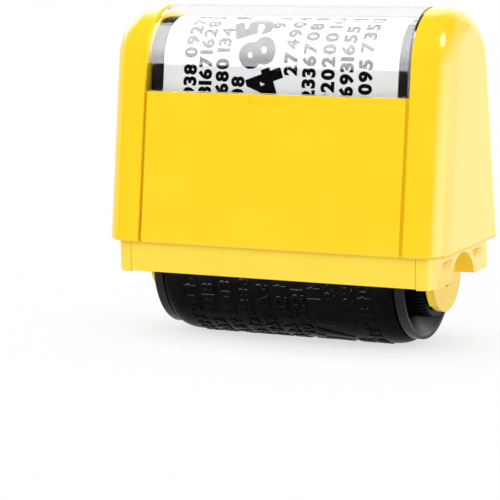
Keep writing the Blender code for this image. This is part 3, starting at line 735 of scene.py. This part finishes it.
def add_mouldings():
    """Every node's own shape with rounded edges; the felt, which no one sees, keeps its solid."""
    for side in ("left", "right"):
        cheek = dress(side + "_cheek", CHEEK_EDGE, "yellow_plastic")
        even_normals(cheek, (0.0,), rounding=CHEEK_ROUND)
        dress(side + "_end_bracket", BRACKET_EDGE, "yellow_plastic", "carriage_plastic")
        dress(side + "_flange", FLANGE_EDGE, "black_plastic", "flange_plastic")
        dress(side + "_bush", BUSH_EDGE, "bush_plastic")
        dress(side + "_hub", HUB_EDGE, "black_plastic", segments=1)
        for end in ("front", "rear"):
            dress(side + "_" + end + "_cheek_screw", SCREW_EDGE, "screw_steel")
            dress(side + "_" + end + "_bracket_screw", SCREW_EDGE, "screw_steel")
    for panel in ("front_panel", "rear_panel"):
        add_tongues(dress(panel, PANEL_EDGE, "yellow_plastic"))
    dress("chassis", CHASSIS_EDGE, "yellow_plastic")
    close_seams(dress("carriage_frame", TROUGH_EDGE, "yellow_plastic", "carriage_plastic"))
    saddle = dress("label_saddle", SADDLE_EDGE, "black_plastic")
    raise_rims(saddle)
    even_normals(saddle, (LABEL_DEPTH, SADDLE_DEPTH))
    cover = dress("clear_cover", COVER_EDGE, "clear_plastic")
    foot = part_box("clear_cover")[0].z
    lower_foot(cover, foot, COVER_SEATING)
    even_normals(cover, (0.0,), (COVER_WALL,))
    mark_edges(cover, foot)
    dress("roller_core", CORE_EDGE, "black_plastic")
    card = dress("index_label", CARD_EDGE, "label_paper", segments=1)
    lower_foot(card, foot, CARD_TUCK)
    even_normals(card, (LABEL_DEPTH,))
    felt = frame["nodes"]["ink_felt"]
    felt.data.materials.clear()
    felt.data.materials.append(MATERIALS["ink_felt"])


def add_sleeve():
    """Rubber sleeve with rows of raised digits, mirrored as on any stamp."""
    root = SLEEVE_RADIUS - RELIEF_HEIGHT
    half = []
    for step in range(SHOULDER_STEPS + 1):
        angle = math.pi / 2 * step / SHOULDER_STEPS
        x = STAMP_HALF_LENGTH + (SLEEVE_HALF_LENGTH - STAMP_HALF_LENGTH) * math.sin(angle)
        half.append((x, root - (root - SHOULDER_END_RADIUS) * (1 - math.cos(angle))))
    profile = [(-x, radius) for x, radius in reversed(half)] + half
    profile += [(SLEEVE_HALF_LENGTH, SLEEVE_BORE), (-SLEEVE_HALF_LENGTH, SLEEVE_BORE)]
    sleeve = make_piece("stamp_sleeve_body", turned(profile, SLEEVE_STEPS), "roller", "stamp_rubber")
    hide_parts("stamp_sleeve")

    around = math.tau * SLEEVE_RADIUS
    thickness = RELIEF_HEIGHT + RELIEF_ROOT
    digits = digit_set(RELIEF_DEPTH_SHARE, RELIEF_ROUND_SHARE, thickness)
    placed = print_rows(digits, around, [around * share for share in RELIEF_WORD_SHARES], SEED)
    bm = sliced(flat_print(digits, placed), around)
    for vert in bm.verts:
        along, across, height = vert.co
        angle = along / SLEEVE_RADIUS
        radius = SLEEVE_RADIUS - thickness / 2 + height
        vert.co = (across, -radius * math.cos(angle), AXLE_HEIGHT + radius * math.sin(angle))
    bmesh.ops.recalc_face_normals(bm, faces=bm.faces)
    make_piece("stamp_sleeve_digits", bm, "roller", "stamp_rubber")


def add_label_print():
    """Rows of black digits printed on the card."""
    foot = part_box("index_label")[0].z - CARD_TUCK + RIM_MARGIN
    length = arch_length(foot)
    digits = digit_set(0, 0, 0)
    placed = print_rows(digits, length, [CARD_WORD_START], SEED + 1, SMALL_HEIGHT)
    bm = sliced(trimmed(flat_print(digits, placed), length), length)
    for vert in bm.verts:
        along, across, _ = vert.co
        y, z = arch_place(along, INK_LIFT, foot)
        vert.co = (-across, y, z)
    bmesh.ops.recalc_face_normals(bm, faces=bm.faces)
    make_piece("index_label_print", bm, "housing", "label_paper", "label_ink")


def rays_seen(tree):
    """1 for camera, glossy and transmission rays, and 0 for the rest."""
    path = tree.nodes.new("ShaderNodeLightPath")
    value = path.outputs["Is Camera Ray"]
    for name in ("Is Glossy Ray", "Is Transmission Ray"):
        value = combined(tree, "MAXIMUM", value, path.outputs[name])
    return value


def add_floor():
    """Plain white floor that keeps the object's soft shadow; reflections don't show it."""
    bm = bmesh.new()
    bmesh.ops.create_grid(bm, x_segments=1, y_segments=1, size=FLOOR_SIZE)
    mesh = bpy.data.meshes.new("floor")
    bm.to_mesh(mesh)
    bm.free()
    floor = link(bpy.data.objects.new("floor", mesh))
    material = bpy.data.materials.new("floor_white")
    material.use_nodes = True
    tree = material.node_tree
    shader = tree.nodes["Principled BSDF"]
    shader.inputs["Roughness"].default_value = FLOOR_ROUGHNESS
    shader.inputs["Specular IOR Level"].default_value = 0.0
    tone = ranged(tree, noise(tree, FLOOR_GRAIN), 0.0, 1.0)
    tree.links.new(blended(tree, tone, FLOOR_DARK, FLOOR_LIGHT), shader.inputs["Base Color"])
    glow = tree.nodes.new("ShaderNodeEmission")
    place = tree.nodes.new("ShaderNodeTexCoord")
    squeezed = add_node(tree, "ShaderNodeMapping", Scale=SHADOW_SQUEEZE)
    reach = tree.nodes.new("ShaderNodeVectorMath")
    reach.operation = "LENGTH"
    share = add_node(
        tree, "ShaderNodeMapRange", From_Min=SHADOW_NEAR, From_Max=SHADOW_FAR,
        To_Min=GLOW_NEAR, To_Max=GLOW_FAR)
    tree.links.new(place.outputs["Object"], squeezed.inputs["Vector"])
    tree.links.new(squeezed.outputs["Vector"], reach.inputs[0])
    tree.links.new(reach.outputs["Value"], share.inputs["Value"])
    seen = combined(tree, "MULTIPLY", rays_seen(tree), share.outputs["Result"])
    show_mix(tree, seen, shader.outputs["BSDF"], glow.outputs["Emission"])
    mesh.materials.append(material)
    floor.visible_glossy = False


def add_world():
    """White surroundings that light the object a little less than they show."""
    world = bpy.data.worlds.new("studio")
    scene.world = world
    world.use_nodes = True
    tree = world.node_tree
    background = tree.nodes["Background"]
    background.inputs["Color"].default_value = (1.0, 1.0, 1.0, 1.0)
    strength = add_node(tree, "ShaderNodeMapRange", To_Min=WORLD_STRENGTH, To_Max=1.0)
    tree.links.new(rays_seen(tree), strength.inputs["Value"])
    tree.links.new(strength.outputs["Result"], background.inputs["Strength"])


def add_sun(name, direction, strength, angle, receivers=None):
    """Distant lamp that shines from a direction, soft over an angle."""
    lamp = bpy.data.lights.new(name, "SUN")
    lamp.energy = strength
    lamp.angle = math.radians(angle)
    obj = link(bpy.data.objects.new(name, lamp))
    obj.rotation_euler = Vector(direction).to_track_quat("Z", "Y").to_euler()
    obj.visible_glossy = False
    if receivers:
        limit_light(obj, receivers)


def limit_light(light, receivers):
    """Lets a lamp shine on these pieces only."""
    group = bpy.data.collections.new(light.name + "_receivers")
    for piece in receivers:
        group.objects.link(piece)
    light.light_linking.receiver_collection = group


def bearing(azimuth, elevation):
    """Direction from the object: azimuth 0 is the front and 90 the right."""
    turn, rise = math.radians(azimuth), math.radians(elevation)
    return Vector((math.sin(turn) * math.cos(rise), -math.cos(turn) * math.cos(rise), math.sin(rise)))


def add_panel_light(name, middle, right, up, width, height, radiance, receivers, seen_through=False):
    """Soft box with a middle and two directions, which shows in these pieces' reflections only."""
    lamp = bpy.data.lights.new(name, "AREA")
    lamp.shape = "RECTANGLE"
    lamp.size = width
    lamp.size_y = height
    lamp.energy = radiance * math.pi * width * height
    obj = link(bpy.data.objects.new(name, lamp))
    columns = Matrix((right, up, right.cross(up))).transposed().to_4x4()
    obj.matrix_world = Matrix.Translation(middle) @ columns
    obj.visible_camera = False
    obj.visible_diffuse = False
    obj.visible_transmission = seen_through
    limit_light(obj, receivers)
    return obj


def add_soft_box(name, azimuths, elevations, distance, radiance, receivers):
    """Soft box that spans these angles as seen from the right of the housing's middle."""
    middle = (Vector((azimuths[0], elevations[0])) + Vector((azimuths[1], elevations[1]))) / 2
    outward = bearing(*middle)
    right = bearing(middle.x + 90, 0)
    up = outward.cross(right)
    width = 2 * distance * math.tan(math.radians(azimuths[1] - azimuths[0]) / 2)
    width *= math.cos(math.radians(middle.y))
    height = 2 * distance * math.tan(math.radians(elevations[1] - elevations[0]) / 2)
    place = BOX_TARGET + outward * distance
    return add_panel_light(name, place, right, up, width, height, radiance, receivers)


def haze_point(x, rise, distance=HAZE_DISTANCE):
    """Point of the haze's plane, where the rise is its angle above the front, seen along the axle."""
    reach = distance / math.cos(rise - HAZE_MIDDLE)
    return HAZE_TARGET + Vector((x, -math.cos(rise) * reach, math.sin(rise) * reach))


def ramp(light, *steps):
    """Lets a soft box's strength change over its width or height.

    Each step is (axis, start, end, low, high), with start and end as shares of that axis.
    """
    light.data.use_nodes = True
    tree = light.data.node_tree
    place = tree.nodes.new("ShaderNodeNewGeometry")
    axes = tree.nodes.new("ShaderNodeSeparateXYZ")
    tree.links.new(place.outputs["Parametric"], axes.inputs["Vector"])
    total = None
    for axis, start, end, low, high in steps:
        gain = add_node(tree, "ShaderNodeMapRange", From_Min=start, From_Max=end, To_Min=low, To_Max=high)
        tree.links.new(axes.outputs[axis], gain.inputs["Value"])
        result = gain.outputs["Result"]
        total = combined(tree, "MULTIPLY", total, result) if total else result
    tree.links.new(total, tree.nodes["Emission"].inputs["Strength"])


def add_flag(name, corners):
    """Black card that only glossy and clear surfaces see."""
    bm = bmesh.new()
    bm.faces.new([bm.verts.new(corner) for corner in corners])
    mesh = bpy.data.meshes.new(name)
    bm.to_mesh(mesh)
    bm.free()
    mesh.materials.append(MATERIALS["flag_black"])
    flag = link(bpy.data.objects.new(name, mesh))
    flag.visible_camera = False
    flag.visible_diffuse = False
    flag.visible_shadow = False


def add_haze(cover):
    """Large soft box over the front, and black flags round it, for the cover's reflection."""
    low_left = haze_point(HAZE_LEFT, HAZE_LOW_LEFT)
    low_right = haze_point(HAZE_RIGHT, HAZE_LOW_RIGHT)
    right = (low_right - low_left).normalized()
    inward = Vector((0, math.cos(HAZE_MIDDLE), -math.sin(HAZE_MIDDLE)))
    up = right.cross(inward).normalized()
    width = (low_right - low_left).length
    height = HAZE_DISTANCE * (math.tan(HAZE_HIGH - HAZE_MIDDLE) + math.tan(HAZE_MIDDLE - HAZE_LOW_LEFT))
    middle = (low_left + low_right) / 2 + up * height / 2
    haze = add_panel_light("haze_box", middle, right, up, width, height, HAZE_RADIANCE, [cover], True)
    ramp(haze, *HAZE_FADES)

    low = haze_point(HAZE_TOP_LEFT_FOOT, HAZE_HIGH)
    high = haze_point(HAZE_TOP_LEFT_END, HAZE_TOP)
    up = (high - low).normalized()
    right = inward.cross(up).normalized()
    width = HAZE_RIGHT - HAZE_TOP_LEFT_FOOT
    middle = (low + high) / 2 + right * width / 2
    add_panel_light(
        "haze_top_box", middle, right, up, width, (high - low).length, HAZE_TOP_RADIANCE, [cover], True)

    drop = Vector((0, 0, -FLAG_DROP))
    far_left, far_right = (low_left + (low_right - low_left) * share for share in FLAG_SHARES)
    add_flag("flag_low", (far_left, far_right, far_right + drop, far_left + drop))
    behind = HAZE_DISTANCE * FLAG_BEHIND
    add_flag("flag_high", [
        haze_point(x, rise, behind) for x, rise in (
            (FLAG_LEFT, HAZE_LOW_LEFT), (FLAG_RIGHT, HAZE_LOW_LEFT), (FLAG_RIGHT, FLAG_TOP_RIGHT),
            (FLAG_TOP_BEND, FLAG_TOP), (FLAG_LEFT, FLAG_TOP))])
    front = haze_point(FLAG_LEFT, HAZE_LOW_LEFT, behind)
    crest = haze_point(FLAG_LEFT, HAZE_HIGH, behind)
    add_flag("flag_left", (
        front, crest, Vector((crest.x, FLAG_WALL_BACK, crest.z)),
        Vector((crest.x, FLAG_WALL_BACK, -FLAG_DROP)), front + drop * 2))


def add_light():
    """World, distant lamps, and soft boxes that each light one group of pieces."""
    add_world()
    for name, direction, strength, angle in SUNS:
        add_sun(name, direction, strength, angle)
    for side, azimuth in WALL_AZIMUTHS:
        cheek = bpy.data.objects[side + "_cheek_moulding"]
        add_sun("wall_" + side, bearing(azimuth, WALL_ELEVATION), WALL_STRENGTH, WALL_ANGLE, [cheek])
    add_haze(bpy.data.objects["clear_cover_moulding"])
    yellow = [piece for piece in scene.objects if "yellow" in piece.get("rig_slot", "")]
    groups = {
        "yellow": yellow,
        "shell": [piece for piece in yellow if "carriage" not in piece.name],
        "right_side": [piece for piece in yellow if "right_" in piece.name],
        "left_cheek": [bpy.data.objects["left_cheek_moulding"]],
        "rubber": [piece for piece in scene.objects if piece.get("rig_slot") == "stamp_rubber"],
        "flanges": [piece for piece in scene.objects if "_flange_" in piece.name],
    }
    for name, azimuths, elevations, distance, radiance, group, tint, fades in SOFT_BOXES:
        box = add_soft_box(name, azimuths, elevations, distance, radiance, groups[group])
        box.data.color = tint
        if fades:
            ramp(box, *fades)


def add_camera():
    """The photograph's viewpoint."""
    back = Vector((
        math.sin(CAMERA_YAW) * math.cos(CAMERA_PITCH), -math.cos(CAMERA_YAW) * math.cos(CAMERA_PITCH),
        math.sin(CAMERA_PITCH)))
    right = Vector((math.cos(CAMERA_YAW), math.sin(CAMERA_YAW), 0))
    up = back.cross(right)
    turned_right = right * math.cos(CAMERA_ROLL) + up * math.sin(CAMERA_ROLL)
    turned_up = up * math.cos(CAMERA_ROLL) - right * math.sin(CAMERA_ROLL)
    camera = bpy.data.cameras.new("camera")
    camera.lens = CAMERA_LENS
    camera.clip_start = CAMERA_CLIP
    obj = link(bpy.data.objects.new("camera", camera))
    columns = Matrix((turned_right, turned_up, back)).transposed().to_4x4()
    obj.matrix_world = Matrix.Translation(CAMERA_PLACE) @ columns
    scene.camera = obj


add_mouldings()
add_sleeve()
add_label_print()
add_floor()
add_light()
add_camera()
scene.view_settings.view_transform = "Standard"
